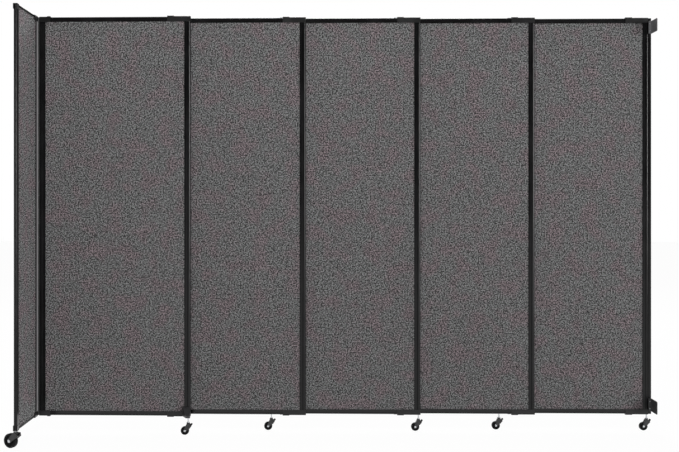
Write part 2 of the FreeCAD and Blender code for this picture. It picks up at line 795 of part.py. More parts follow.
def make_pedal(label, size):
    """Bell crank: the tab is pressed down, and the cam under the pivot swings in to the tread."""
    radius, pivot = wheel_radius(size), pivot_spot(size)
    body = new_body(label)
    away = f"({pivot[0]} + {size}_trail)"
    above = f"({pivot[1]} - {radius})"
    reach = f"(sqrt({away} * {away} + {above} * {above}) - {radius} - cam_radius - cam_lock_gap)"
    bearing = f"(180 deg + atan({above} / {away}) + cam_rest_angle * 1 deg)"
    cam = (f"{pivot[0]} + {reach} * cos({bearing})", f"{pivot[1]} + {reach} * sin({bearing})", "cam_radius")
    hub = pivot + ("pedal_hub_radius",)
    tab = (f"{size}_tab_reach", f"{size}_tab_height", "tab_radius")
    crank = new_sketch(body, "XZ_Plane", f"{label}_crank")
    add_band(crank, [cam, hub])
    pad(body, crank, "pedal_width", both_ways=True)
    lever = new_sketch(body, "XZ_Plane", f"{label}_lever")
    add_band(lever, [hub, tab])
    pad(body, lever, "pedal_width", both_ways=True)
    pin = new_sketch(body, "XZ_Plane", f"{label}_pin")
    add_circle(pin, pivot[0], pivot[1], "pedal_pin_radius")
    pad(body, pin, f"2 * {fork_half(size)}", both_ways=True)
    return body


# Assembly: the sliding panels
WIDTH = "panel_width"
PANELS = range(1, 6)
sub_parts = []


def panel_spot(panel):
    across = f"{SHIFT_X} + {panel - 1} * {STEP} + panel_width / 2"
    deep = SHIFT_Y if panel == 1 else f"{SHIFT_Y} + {FRONT_PITCH} + {panel - 2} * {PITCH}"
    return across, deep


def keep(body, across, deep, up, turn=0):
    place_body(body, across, deep, up, turn)
    sub_parts.append(body)


for panel in PANELS:
    spot = panel_spot(panel)
    first, last = panel == 1, panel == 5
    gap_before = "front_gap" if panel == 2 else "panel_gap"
    gap_after = "front_gap" if first else "panel_gap"
    left = ("rear_sleeve_length", "rear_boss_length", "front", gap_before)
    if first:
        left = ("plain_sleeve_length", "rear_boss_length", "", "")
    right = ("front_sleeve_length", "front_boss_length", "" if last else "back", gap_after)
    stems = ["-", ""] if panel in (3, 5) else []
    left_round = "edge_radius" if first else "nose_radius"
    keep(make_posts(f"panel_{panel}_posts", WIDTH, left_round, "nose_radius"), *spot, MIDDLE)
    keep(make_rails(f"panel_{panel}_rails", WIDTH, "rail_height", True), *spot, MIDDLE)
    keep(make_board(f"panel_{panel}_fabric_board", WIDTH, "rail_height"), *spot, MIDDLE)
    trim = "(wall_strip_lap + wall_strip_play)" if last else "0"
    keep(make_sleeves(f"panel_{panel}_guides", WIDTH, left, right, stems, trim), *spot, MIDDLE)

# Assembly: the end panel, turned to face the wall's end
END = "end_panel_width"
end_spot = (f"{SHIFT_X} - {END_PLANE}", f"{SHIFT_Y} - {END_EDGE} - end_panel_width / 2")
hinge_sleeve = ("plain_sleeve_length", "", "", "")
near_sleeve = ("post_width", "", "", "")
keep(make_posts("end_panel_posts", END, "edge_radius", "nose_radius"), *end_spot, MIDDLE, -90)
keep(make_rails("end_panel_rails", END, "end_rail_height", False), *end_spot, MIDDLE, -90)
keep(make_board("end_panel_fabric_board", END, "end_rail_height"), *end_spot, MIDDLE, -90)
keep(make_sleeves("end_panel_sleeves", END, hinge_sleeve, near_sleeve, [""]), *end_spot, MIDDLE, -90)

# Assembly: the hinge, its pin standing in front of the first panel's left edge
hinge_spot = (f"{SHIFT_X} - {HINGE_X}", f"{SHIFT_Y} - {HINGE_Y}", "floor_clearance + hinge_end_gap")
keep(make_leaf("hinge_fixed_leaf", False), *hinge_spot)
keep(make_leaf("hinge_swing_leaf", True), *hinge_spot)
keep(make_pin("hinge_pin"), *hinge_spot)

# Assembly: the wall side
wall_spot = panel_spot(5)
keep(make_wall_strip("wall_strip"), *wall_spot, MIDDLE)
keep(make_bracket("wall_bracket_upper", ""), *wall_spot, MIDDLE)
keep(make_bracket("wall_bracket_lower", "-"), *wall_spot, MIDDLE)

# Assembly: the outrigger foot and the casters
front_spot = panel_spot(1)
keep(make_foot("panel_1_caster_foot"), *front_spot, MIDDLE)


def stem_spot(panel, side):
    across, deep = panel_spot(panel)
    return f"{across} {side} (panel_width / 2 - stem_inset)", deep


foot_stem = (f"{front_spot[0]} + panel_width / 2 + foot_overhang - foot_toe_width / 2",
             f"{front_spot[1]} - ({SLEEVE_SIDE} + foot_reach - foot_stem_inset)")
end_stem = (end_spot[0], f"{end_spot[1]} - (end_panel_width / 2 - stem_inset)")
CASTERS = {
    "panel_1_caster": ("small", foot_stem, "0"),
    "panel_3_left_caster": ("small", stem_spot(3, "-"), "0"),
    "panel_3_right_caster": ("small", stem_spot(3, "+"), "0"),
    "panel_5_left_caster": ("small", stem_spot(5, "-"), "0"),
    "panel_5_right_caster": ("small", stem_spot(5, "+"), "0"),
    "end_caster": ("large", end_stem, "end_caster_turn"),
}
for name, (size, spot, turn) in CASTERS.items():
    behind, above = axle_spot(size)
    wheel_across = f"{spot[0]} + {behind} * cos({turn} * 1 deg)"
    wheel_deep = f"{spot[1]} - {behind} * sin({turn} * 1 deg)"
    clockwise = -number(turn)
    keep(make_fork(f"{name}_fork", size), *spot, "0", clockwise)
    keep(make_wheel(f"{name}_wheel", size), wheel_across, wheel_deep, above, clockwise)
    keep(make_axle(f"{name}_axle", size), wheel_across, wheel_deep, above, clockwise)
    keep(make_pedal(f"{name}_pedal", size), *spot, "0", clockwise)
stem_span = "panel_width - 2 * stem_inset"
keep(make_stems("panel_1_caster_stem", "small", "foot_stem_depth"), *foot_stem, "0")
keep(make_stems("panel_3_caster_stems", "small", "stem_depth", stem_span), *stem_spot(3, "-"), "0")
keep(make_stems("panel_5_caster_stems", "small", "stem_depth", stem_span), *stem_spot(5, "-"), "0")
keep(make_stems("end_caster_stem", "large", "stem_depth"), *end_stem, "0")

# Every object must be sound before anything is written
doc.recompute()
for item in doc.Objects:
    if "Invalid" in item.State or "Error" in item.State:
        raise RuntimeError(f"{item.Label} did not build")
os.makedirs("parts", exist_ok=True)
for body in sub_parts:
    if body.Shape.isNull() or not body.Shape.isValid() or not body.Shape.Solids:
        raise RuntimeError(f"{body.Label} has no sound solid")
    body.Shape.exportStep(f"parts/{body.Label}.step")
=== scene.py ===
# %% [markdown]
# A sliding room divider, dressed over its engineering model.
# The frame, guides, hinge, brackets and casters arrive as exact solids, so this lesson leaves their shapes
# alone and gives them finishes. What the solids leave plain is modelled here: the cloth boards, the wheels
# with their ribs, the toe pads of the brake pedals, and the screws. The lesson starts by loading the frame.

# %% Load the frame
import json
import math

import bmesh
import bpy
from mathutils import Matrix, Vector


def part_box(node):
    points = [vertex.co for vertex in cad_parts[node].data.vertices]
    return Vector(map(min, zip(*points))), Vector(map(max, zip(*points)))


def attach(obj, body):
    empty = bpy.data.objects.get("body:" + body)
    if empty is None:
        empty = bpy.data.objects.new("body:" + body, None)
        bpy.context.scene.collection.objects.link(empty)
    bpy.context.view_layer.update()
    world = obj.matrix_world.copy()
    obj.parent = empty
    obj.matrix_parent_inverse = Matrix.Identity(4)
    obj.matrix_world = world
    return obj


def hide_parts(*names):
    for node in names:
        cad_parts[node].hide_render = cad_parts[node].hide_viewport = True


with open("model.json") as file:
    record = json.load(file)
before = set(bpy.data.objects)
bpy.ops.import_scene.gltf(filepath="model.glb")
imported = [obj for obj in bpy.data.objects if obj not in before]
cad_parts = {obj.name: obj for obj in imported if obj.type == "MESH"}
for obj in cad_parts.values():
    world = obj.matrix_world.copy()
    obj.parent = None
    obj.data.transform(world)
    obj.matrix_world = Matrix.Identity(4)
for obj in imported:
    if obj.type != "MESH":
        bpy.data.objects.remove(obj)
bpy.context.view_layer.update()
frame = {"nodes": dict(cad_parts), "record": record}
MM = 0.001
PANEL_COUNT = 5

# %% [markdown]
# The camera stands where the photographer stood: in front of the divider, a little left of its middle, at
# chest height, turned slightly to the left. Tilting it would make the posts lean, so a lens shift slides the
# picture instead, and the posts stay upright and parallel. The axis is where the middle of the lens looks, in
# pixels from the left and upper edges of the picture.

# %% Camera
PHOTO_WIDTH = 679
PHOTO_HEIGHT = 452
SENSOR = 36.0
EYE = Vector((-0.104, -5.842, 1.258))
TURN_LEFT = math.radians(1.634)
FOCAL_PIXELS = 1094.5
AXIS_U = 288.8
AXIS_V = 203.1

camera_data = bpy.data.cameras.new("photo_camera")
camera_data.sensor_width = SENSOR
camera_data.lens = FOCAL_PIXELS * SENSOR / PHOTO_WIDTH
camera_data.shift_x = (PHOTO_WIDTH / 2 - AXIS_U) / PHOTO_WIDTH
camera_data.shift_y = (AXIS_V - PHOTO_HEIGHT / 2) / PHOTO_WIDTH
camera = bpy.data.objects.new("photo_camera", camera_data)
bpy.context.collection.objects.link(camera)
camera.location = EYE
camera.rotation_euler = (math.pi / 2, 0, TURN_LEFT)
bpy.context.scene.camera = camera
print("lens", round(camera_data.lens, 1), "mm")
print("shift", round(camera_data.shift_x, 3), round(camera_data.shift_y, 3))

# %% [markdown]
# Finishes are node trees, and their arithmetic is easier to read as Python. This class wraps one socket, so
# that an expression such as 1 - mask adds the Math nodes by itself. Every other node goes through add, which
# sets the node's settings first and then the values or links of its sockets.


# %% Shader arithmetic
class Wire:
    """One socket of a material, with Python operators that add Math nodes."""

    def __init__(self, tree, socket):
        self.tree = tree
        self.socket = socket

    def add(self, kind, settings, inputs, output=0):
        node = self.tree.nodes.new(kind)
        for name, value in settings.items():
            setattr(node, name, value)
        for name, value in inputs.items():
            if isinstance(value, Wire):
                self.tree.links.new(value.socket, node.inputs[name])
            else:
                node.inputs[name].default_value = value
        return Wire(self.tree, node.outputs[output])

    def maths(self, operation, *values):
        return self.add("ShaderNodeMath", {"operation": operation}, dict(enumerate(values)))

    def __add__(self, other):
        return self.maths("ADD", self, other)

    def __radd__(self, other):
        return self.maths("ADD", other, self)

    def __sub__(self, other):
        return self.maths("SUBTRACT", self, other)

    def __rsub__(self, other):
        return self.maths("SUBTRACT", other, self)

    def __mul__(self, other):
        return self.maths("MULTIPLY", self, other)

    def __rmul__(self, other):
        return self.maths("MULTIPLY", other, self)

    def __mod__(self, other):
        return self.maths("FLOORED_MODULO", self, other)

    def __floor__(self):
        return self.maths("FLOOR", self)

    def wave(self):
        """A row of round humps, one for each whole step of the value."""
        return self.maths("ABSOLUTE", self.maths("SINE", self * math.pi))

    def between(self, low, high):
        """Rises smoothly from 0 to 1 as the value goes from low to high."""
        settings = {"interpolation_type": "SMOOTHSTEP"}
        return self.add("ShaderNodeMapRange", settings, {"Value": self, "From Min": low, "From Max": high})

    def blend(self, first, second):
        """A colour that is the first where this value is 0 and the second where it is 1."""
        # A Mix node has sockets of the same name for numbers, vectors and colours, so they go by number: the
        # two colours are inputs 6 and 7, and the mixed one is output 2.
        inputs = {"Factor": self, 6: first, 7: second}
        settings = {"data_type": "RGBA", "clamp_factor": True}
        return self.add("ShaderNodeMix", settings, inputs, 2)

    def axes(self):
        """The three numbers of these coordinates, each as a wire of its own."""
        split = self.add("ShaderNodeSeparateXYZ", {}, {"Vector": self}).socket.node
        return [Wire(self.tree, output) for output in split.outputs]

    def stretched(self, across, deep, up):
        """These coordinates multiplied axis by axis."""
        factors = {0: self, 1: (across, deep, up)}
        return self.add("ShaderNodeVectorMath", {"operation": "MULTIPLY"}, factors)

    def noise(self, scale, detail=2.0, dimensions="3D"):
        settings = {"noise_dimensions": dimensions}
        return self.add("ShaderNodeTexNoise", settings, {"Vector": self, "Scale": scale, "Detail": detail})

    def cells(self, scale):
        """A grey value of its own for each grain of a fine crystal pattern."""
        grains = self.add("ShaderNodeTexVoronoi", {}, {"Vector": self, "Scale": scale}, "Color")
        return self.add("ShaderNodeSeparateColor", {}, {"Color": grains})


print("shader arithmetic ready")

# %% [markdown]
# Every finish starts the same way: a new material, its shader, and the coordinates of the object, in metres.
# These stay with a piece when it moves, so a pattern can't slide over it. Most finishes end with a bump,
# which bends the light as a fine relief would, and with greys that are a little warm or cold.


# %% Starting a finish
def start_finish(name):
    """A new material: itself, its shader node and its object coordinates."""
    material = bpy.data.materials.new(name)
    material.use_nodes = True
    tree = material.node_tree
    shader = tree.nodes["Principled BSDF"]
    skin = Wire(tree, shader.outputs["BSDF"])
    return material, shader, skin.add("ShaderNodeTexCoord", {}, {}, "Object")


def connect(shader, **sockets):
    """Links wires to the shader's sockets, or sets plain values there."""
    for name, value in sockets.items():
        socket = shader.inputs[name.replace("_", " ")]
        if isinstance(value, Wire):
            value.tree.links.new(value.socket, socket)
        else:
            socket.default_value = value


def bumped(height, distance, strength):
    return height.add("ShaderNodeBump", {}, {"Height": height, "Distance": distance, "Strength": strength})


def tinted(grey, tint):
    """A grey as a colour, with each of its three parts multiplied by a tint close to 1."""
    return (*(grey * share for share in tint), 1)


print("a grey of 0.5 with a warm tint:", tinted(0.5, (1.1, 1.0, 0.9)))

# %% [markdown]
# The boards are covered in a heathered charcoal cloth. Its yarns are spun from dark and pale fibres with a
# few brick-red ones, so that it reads as grey from across the room and as a speckle from close by. A
# photograph of cloth would not tile over two metres, so the weave is worked out instead: humps of warp and
# weft pass over and under each other, and along every yarn a noise of its own goes from dark fibres to pale
# ones and back. Bundles of yarns were spun together, so a second noise, the same for all, leans neighbours
# one way and the speckle clumps. The colour is darker in the gaps between the humps, which is painted shade.
# The red fibres gather in patches, so they come from a much larger noise.

# %% Cloth finish
YARN_PITCH = 1.5 * MM
YARN_RELIEF = 0.5 * MM
DASH_LENGTH = 6.0 * MM
YARN_APART = 7.37
FIBRE_LEAN = 2.4
SLUB_SIZE = 7.0 * MM
ALL_DARK = -0.24
ALL_PALE = 0.48
# The share of its brightness that the colour keeps in the gaps between the humps: painted shade.
PAINTED_GAP_SHADE_LEVEL = 0.4
BLUSH_SIZE = 95.0 * MM
NO_BLUSH = 0.38
FULL_BLUSH = 0.74
YARN_DARK = (0.012, 0.012, 0.012, 1)
COOL_TINT = (0.990, 1.000, 1.005)
RED_TINT = (1.125, 0.918, 0.978)
CLOTH_ROUGH = 0.86
FIBRE_ROUGHENS = 0.12


def fibre(yarn, along):
    """How pale a yarn is along its length. Whole numbers name the yarns, and each has a course of its own."""
    course = {"X": yarn * YARN_APART, "Y": along * (1 / DASH_LENGTH), "Z": 0.0}
    return along.add("ShaderNodeCombineXYZ", {}, course).noise(1.0, detail=0.0, dimensions="2D")


def charcoal_cloth(name, stretch, lean, pale, sheen):
    """The cloth. Its clumps are as long across the board, compared with their height, as the stretch says,
    and as strong as the lean says. The pale yarn is a grey of the given value."""
    material, shader, place = start_finish(name)
    side, deep, up = place.axes()
    # A board lies along one of the two level axes, so their sum runs across any board.
    across = side + deep
    flat = place.add("ShaderNodeCombineXYZ", {}, {"X": across, "Y": up, "Z": 0.0})
    column = across * (1 / YARN_PITCH)
    row = up * (1 / YARN_PITCH)
    over = (math.floor(column) + math.floor(row)) % 2
    height = over * column.wave() + (1 - over) * row.wave()
    warp = fibre(math.floor(column), up)
    weft = fibre(math.floor(row), across)
    on_top = over * warp + (1 - over) * weft
    slub = flat.stretched(1 / stretch, 1.0, 1.0).noise(1 / SLUB_SIZE, detail=1.0, dimensions="2D")
    mixed = (on_top - 0.5) * FIBRE_LEAN + (slub - 0.5) * lean
    # The colour darkens in the gaps between the humps, as painted shade.
    shade = mixed.between(ALL_DARK, ALL_PALE) * (PAINTED_GAP_SHADE_LEVEL + height * (1 - PAINTED_GAP_SHADE_LEVEL))
    patches = flat.noise(1 / BLUSH_SIZE, detail=1.0, dimensions="2D")
    blush = patches.between(NO_BLUSH, FULL_BLUSH)
    pale_yarn = blush.blend(tinted(pale, COOL_TINT), tinted(pale, RED_TINT))
    colour = shade.blend(YARN_DARK, pale_yarn)
    rough = CLOTH_ROUGH + on_top * FIBRE_ROUGHENS
    connect(shader, Base_Color=colour, Roughness=rough, Normal=bumped(height, YARN_RELIEF, strength=0.6))
    connect(shader, Specular_IOR_Level=0.25, Sheen_Weight=sheen, Sheen_Roughness=0.5)
    return material


CLOTH = charcoal_cloth("charcoal_cloth", stretch=1.0, lean=2.6, pale=0.330, sheen=0.12)
# The end panel's cloth has a paler yarn than the same cloth on the other boards: painted light.
END_CLOTH_PAINTED_PALER = charcoal_cloth("end_panel_cloth_painted_paler", stretch=2.0, lean=3.0, pale=0.530, sheen=0.0)
print("cloth", len(CLOTH.node_tree.nodes), "nodes")

# %% [markdown]
# The frames are drawn aluminium, anodised black. Drawing leaves faint lines along the bar, which stretch the
# reflections lengthways. The lines come from noise that is squeezed across the bar, so posts and rails each
# get the finish turned their own way.

# %% Drawn aluminium finish
ANODISED_BLACK = (0.0030, 0.0030, 0.0032, 1)
ANODISED_WORN = (0.0060, 0.0060, 0.0064, 1)
LINES_PER_METRE = 900.0
CHANGES_ALONG = 4.0
LINE_RELIEF = 0.02 * MM
SMUDGES_PER_METRE = 9.0
SMUDGE_FROM = 0.35
SMUDGE_FULL = 0.75
BAR_ROUGH = 0.14
SMUDGE_ROUGHENS = 0.08
LINES_ROUGHEN = 0.06


def drawn_black(name, along, shine):
    """Black anodised bar whose drawing lines run along the named axis."""
    material, shader, place = start_finish(name)
    squeeze = [LINES_PER_METRE, LINES_PER_METRE, LINES_PER_METRE]
    squeeze["XYZ".index(along)] = CHANGES_ALONG
    lines = place.stretched(*squeeze).noise(1.0)
    smudge = place.noise(SMUDGES_PER_METRE, detail=3.0).between(SMUDGE_FROM, SMUDGE_FULL)
    colour = smudge.blend(ANODISED_BLACK, ANODISED_WORN)
    rough = BAR_ROUGH + smudge * SMUDGE_ROUGHENS + lines * LINES_ROUGHEN
    connect(shader, Base_Color=colour, Roughness=rough, Normal=bumped(lines, LINE_RELIEF, strength=0.3))
    connect(shader, Specular_IOR_Level=shine)
    return material


POST_BLACK = drawn_black("post_black", along="Z", shine=0.28)
END_POST_BLACK = drawn_black("end_post_black", along="Z", shine=0.22)
RAIL_BLACK = drawn_black("rail_black", along="X", shine=0.38)
END_RAIL_BLACK = drawn_black("end_rail_black", along="Y", shine=0.02)
for finish in (POST_BLACK, END_POST_BLACK, RAIL_BLACK, END_RAIL_BLACK):
    print("drawn finish", finish.name, len(finish.node_tree.nodes), "nodes")

# %% [markdown]
# Guides, pedals and the foot are moulded plastic with a spark-eroded grain, and the hinge, brackets and
# forks are powder coated, which cures with a soft orange peel. Both are one colour with a fine relief and an
# uneven gloss, so one function makes them at different scales. It does for the rubber of the tyres too.

# %% Grained and coated finishes
PATCHES_PER_METRE = 14.0
PATCH_FROM = 0.35
PATCH_FULL = 0.7
PATCH_SHARE = 0.6
GLOSS_SPREAD = 0.12
COLD_DARK = (1.00, 1.00, 1.03)
COLD_LIGHT = (1.00, 1.00, 1.05)


def grained(name, dark, light, grain, depth, rough, shine):
    """A matt grey skin: its grain size and depth are in millimetres, and its gloss wanders about one
    roughness."""
    material, shader, place = start_finish(name)
    relief = place.noise(1 / (grain * MM))
    patch = place.noise(PATCHES_PER_METRE, detail=3.0).between(PATCH_FROM, PATCH_FULL)
    worn = patch * PATCH_SHARE + relief * (1 - PATCH_SHARE)
    tone = worn.blend(tinted(dark, COLD_DARK), tinted(light, COLD_LIGHT))
    uneven = rough - GLOSS_SPREAD / 2 + patch * GLOSS_SPREAD
    connect(shader, Base_Color=tone, Roughness=uneven, Normal=bumped(relief, depth * MM, strength=0.5))
    connect(shader, Specular_IOR_Level=shine)
    return material


GUIDE_PLASTIC = grained("guide_plastic", 0.006, 0.011, grain=1.0, depth=0.10, rough=0.36, shine=0.36)
FOOT_PLASTIC = grained("foot_plastic", 0.026, 0.036, grain=1.0, depth=0.10, rough=0.42, shine=0.45)
PEDAL_PLASTIC = grained("pedal_plastic", 0.004, 0.008, grain=0.8, depth=0.08, rough=0.45, shine=0.20)
HINGE_COAT = grained("hinge_coat", 0.005, 0.010, grain=2.0, depth=0.06, rough=0.35, shine=0.50)
DARK_BRACKET_COAT = grained("dark_bracket_coat", 0.034, 0.050, grain=2.4, depth=0.08, rough=0.38, shine=0.50)
# The upper bracket's paler copy of the bracket coat is painted light.
BRACKET_COAT_PAINTED_PALER = grained("bracket_coat_painted_paler", 0.135, 0.165, grain=2.4, depth=0.08, rough=0.38, shine=0.50)
FORK_COAT = grained("fork_coat", 0.012, 0.024, grain=1.6, depth=0.05, rough=0.30, shine=0.50)
TYRE_RUBBER = grained("tyre_rubber", 0.003, 0.007, grain=1.4, depth=0.10, rough=0.52, shine=0.12)
print("finishes so far", len(bpy.data.materials))

# %% [markdown]
# Stems, axles and screws are zinc plated steel: bright, slightly blue, with a crystal spangle that a Voronoi
# pattern copies grain by grain.

# %% Zinc finish
ZINC_LIGHT = (0.66, 0.67, 0.69, 1)
ZINC_DARK = (0.44, 0.45, 0.47, 1)
SPANGLE = 1.6 * MM
SPANGLE_RELIEF = 0.02 * MM
ZINC_ROUGH = 0.24
SPANGLE_ROUGHENS = 0.14


def plated_zinc():
    material, shader, place = start_finish("plated_zinc")
    grains = place.cells(1 / SPANGLE)
    rough = ZINC_ROUGH + grains * SPANGLE_ROUGHENS
    connect(shader, Base_Color=grains.blend(ZINC_DARK, ZINC_LIGHT), Roughness=rough)
    connect(shader, Metallic=1.0, Normal=bumped(grains, SPANGLE_RELIEF, strength=0.2))
    return material


ZINC = plated_zinc()
print("zinc", len(ZINC.node_tree.nodes), "nodes")

# %% [markdown]
# The swing leaf of the hinge is painted the grey of the cloth, with a pale streaked band beside the barrel
# that is a painted bright line of light, and its knuckles are painted black with the rest of the barrel. At
# rest the leaf reaches forward from the barrel, so masks on its depth tell the three apart, and one finish
# does for the whole leaf.

# %% Hinge leaf finish
JOINTS = {joint["name"]: joint for joint in frame["record"]["behaviour"]["joints"]}
HINGE_DEPTH = JOINTS["end_panel_hinge"]["pos_m"][1]
BARREL_RADIUS = 4.0 * MM
# The width and the two greys of the painted bright line of light beside the barrel.
PAINTED_LINE_WIDTH = 15.0 * MM
PAINT_EDGE = 0.3 * MM
PAINTED_LINE_BRIGHT = (0.50, 0.50, 0.51, 1)
PAINTED_LINE_DIM = (0.38, 0.38, 0.39, 1)
LEAF_PAINT = (0.110, 0.106, 0.108, 1)
KNUCKLE_PAINT = (0.006, 0.006, 0.006, 1)
LEAF_ROUGH = 0.36
LEAF_LINES_ROUGHEN = 0.12


def leaf_with_painted_line():
    material, shader, place = start_finish("leaf_with_painted_line")
    deep = place.axes()[1]
    barrel_edge = HINGE_DEPTH - BARREL_RADIUS
    painted_line_edge = barrel_edge - PAINTED_LINE_WIDTH
    lines = place.stretched(LINES_PER_METRE, LINES_PER_METRE, CHANGES_ALONG).noise(1.0)
    # A pale streaked band beside the barrel: a painted bright line of light.
    painted_line_band = lines.blend(PAINTED_LINE_DIM, PAINTED_LINE_BRIGHT)
    leaf = deep.between(painted_line_edge - PAINT_EDGE, painted_line_edge).blend(LEAF_PAINT, painted_line_band)
    colour = deep.between(barrel_edge - PAINT_EDGE, barrel_edge).blend(leaf, KNUCKLE_PAINT)
    connect(shader, Base_Color=colour, Roughness=LEAF_ROUGH + lines * LEAF_LINES_ROUGHEN)
    connect(shader, Normal=bumped(lines, LINE_RELIEF, strength=0.3))
    return material


LEAF_WITH_PAINTED_LINE = leaf_with_painted_line()
print("hinge leaf", len(LEAF_WITH_PAINTED_LINE.node_tree.nodes), "nodes")

# %% [markdown]
# Every solid has a slot that says what it is made of. One table turns slots into finishes. A few nodes need
# a second look: the drawing lines of the rails run along the rail, the end panel is duller than the others,
# the foot is a greyer plastic than the guides, and the upper bracket gets a paler copy of the lower one's
# coat, which is painted light.

# %% Finishes on the solids
SLOT_FINISH = {
    "frame_black": POST_BLACK,
    "fabric": CLOTH,
    "guide_plastic": GUIDE_PLASTIC,
    "hinge_black": HINGE_COAT,
    "hinge_satin": LEAF_WITH_PAINTED_LINE,
    "bracket_grey": DARK_BRACKET_COAT,
    "zinc": ZINC,
    "caster_grey": FORK_COAT,
    "wheel_black": TYRE_RUBBER,
    "pedal_black": PEDAL_PLASTIC,
}
NODE_FINISH = {
    "end_panel_posts": END_POST_BLACK,
    "end_panel_rails": END_RAIL_BLACK,
    "panel_1_caster_foot": FOOT_PLASTIC,
    # The upper bracket gets the paler copy of the coat, which is painted light.
    "wall_bracket_upper": BRACKET_COAT_PAINTED_PALER,
}
for number in range(1, PANEL_COUNT + 1):
    NODE_FINISH[f"panel_{number}_rails"] = RAIL_BLACK
for part in frame["record"]["subparts"]:
    node = part["node"]
    finish = NODE_FINISH.get(node, SLOT_FINISH[part["material_slot"]])
    mesh = frame["nodes"][node].data
    mesh.materials.clear()
    mesh.materials.append(finish)

# %% [markdown]
# New pieces start from a primitive of about the right size, already at its place, and are shaped in edit
# mode. An operator acts on all that is selected, so these helpers open a piece with nothing selected and pick
# faces or edges by their place. A hair is a distance that counts as none, and a face is square on to a
# direction when its normal has nearly all its length that way.

# %% Opening and picking
HAIR = 0.01 * MM
SQUARE_ON = 0.99


def begin(primitive, name, **sizes):
    """Adds a primitive under a name and opens it for editing with nothing selected."""
    bpy.ops.object.select_all(action="DESELECT")
    primitive(**sizes)
    piece = bpy.context.active_object
    piece.name = name
    piece.data.name = name
    bpy.ops.object.transform_apply(location=True, rotation=True, scale=True)
    bpy.ops.object.mode_set(mode="EDIT")
    bpy.ops.mesh.select_all(action="DESELECT")
    return piece


def pick(piece, kind, wanted):
    """Selects the faces or edges that a test picks out and says how many there are."""
    bpy.ops.mesh.select_mode(type=kind)
    shape = bmesh.from_edit_mesh(piece.data)
    parts = shape.faces if kind == "FACE" else shape.edges
    count = 0
    for part in parts:
        part.select_set(wanted(part))
        count += part.select
    shape.select_flush_mode()
    bmesh.update_edit_mesh(piece.data)
    return count


print("a hair is", HAIR, "m")

# %% [markdown]
# A shaped piece is closed again with its finish, the body that it moves with and, where it takes the place
# of a solid, that solid's node, which is hidden. What repeats is modelled once and copied, each copy with its
# own mesh, because the place of a piece is kept in its mesh.

# %% Closing and copying
SMOOTH_BELOW = math.radians(35)


def dress(piece, finish, body, slot, *nodes):
    """Gives a piece its finish and its body, and hides the nodes that it replaces. The slot is not used."""
    piece.data.materials.clear()
    piece.data.materials.append(finish)
    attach(piece, body)
    if nodes:
        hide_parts(*nodes)


def close(piece, finish, body, slot, *nodes):
    """Turns all faces outward, leaves edit mode, smooths the shading and dresses the piece."""
    bpy.ops.mesh.select_all(action="SELECT")
    bpy.ops.mesh.normals_make_consistent(inside=False)
    bpy.ops.object.mode_set(mode="OBJECT")
    bpy.ops.object.shade_smooth_by_angle(angle=SMOOTH_BELOW)
    dress(piece, finish, body, slot, *nodes)


def copied(piece, name, offset):
    """A second piece of the same shape, with a mesh of its own moved to a new place."""
    other = piece.copy()
    other.data = piece.data.copy()
    other.parent = None
    other.name = name
    other.data.name = name
    bpy.context.collection.objects.link(other)
    bpy.ops.object.select_all(action="DESELECT")
    other.select_set(True)
    bpy.context.view_layer.objects.active = other
    other.matrix_world.identity()
    other.location = offset
    bpy.ops.object.transform_apply(location=True, rotation=False, scale=False)
    return other


BODY_OF = {}
for body, nodes in frame["record"]["behaviour"]["bodies"].items():
    for node in nodes:
        BODY_OF[node] = body

# %% [markdown]
# A board is a stiff core wrapped in cloth. The cloth turns a soft edge and stands a little proud of the core,
# so a bare box looks wrong where light grazes it. The box gets rolled edges by bevelling, a band inset for
# the part that the frame grips, and a field inside it that rises by a fraction of a millimetre.

# %% Cloth boards
EDGE_ROLL = 1.6 * MM
GRIP_BAND = 9.0 * MM
SWELL = 0.7 * MM


def model_board(node):
    low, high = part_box(node)
    size = high - low
    thin = min(range(3), key=lambda axis: size[axis])
    middle = (low + high) / 2
    name = node.replace("_fabric_board", "_cloth_board")
    board = begin(bpy.ops.mesh.primitive_cube_add, name, size=1, location=middle, scale=size)
    bpy.ops.mesh.select_all(action="SELECT")
    bpy.ops.mesh.bevel(offset=EDGE_ROLL, segments=3)

    def is_field(face):
        return abs(face.normal[thin]) > SQUARE_ON

    pick(board, "FACE", is_field)
    bpy.ops.mesh.inset(thickness=GRIP_BAND)
    bpy.ops.mesh.inset(thickness=GRIP_BAND)
    bpy.ops.transform.shrink_fatten(value=SWELL)
    # Only the board of the end panel is thin along X.
    # The end panel's board gets the cloth with the paler yarn, which is painted light.
    close(board, END_CLOTH_PAINTED_PALER if thin == 0 else CLOTH, BODY_OF[node], "fabric", node)
    return board


boards = []
for node in list(BODY_OF):
    if node.endswith("_fabric_board"):
        boards.append(model_board(node))
print("boards", [board.name for board in boards])

# %% [markdown]
# A caster wheel is one moulding: a round-shouldered tread, a dished web with ribs, and a hub with the axle
# bore. It starts as a short cylinder. Its rims are bevelled into shoulders, its ends inset and pushed in for
# the dish, raised again for the hub, and every sixth strip of the web is pulled out as a rib.

# %% Shape of a wheel
WHEEL_SIDES = 48
RIB_EVERY = 6
RIM_SHARE = 0.70
SHOULDER_SHARE = 0.10
DISH_SHARE = 0.18
RIB_SHARE = 0.7
DISH_SLOPE = 0.5 * MM
HUB_SLOPE = 0.4 * MM
WEB_MARGIN = 1.0 * MM
HUB_RADIUS = 6.5 * MM
BORE_RADIUS = 3.2 * MM


def joint_spot(joint):
    return Vector(JOINTS[joint]["pos_m"])


def turn_of(caster):
    """How far a caster is turned about the upright, from the direction of its axle."""
    axle = Vector(JOINTS[f"{caster}_roll"]["axis"])
    return -math.atan2(axle.x, axle.y)


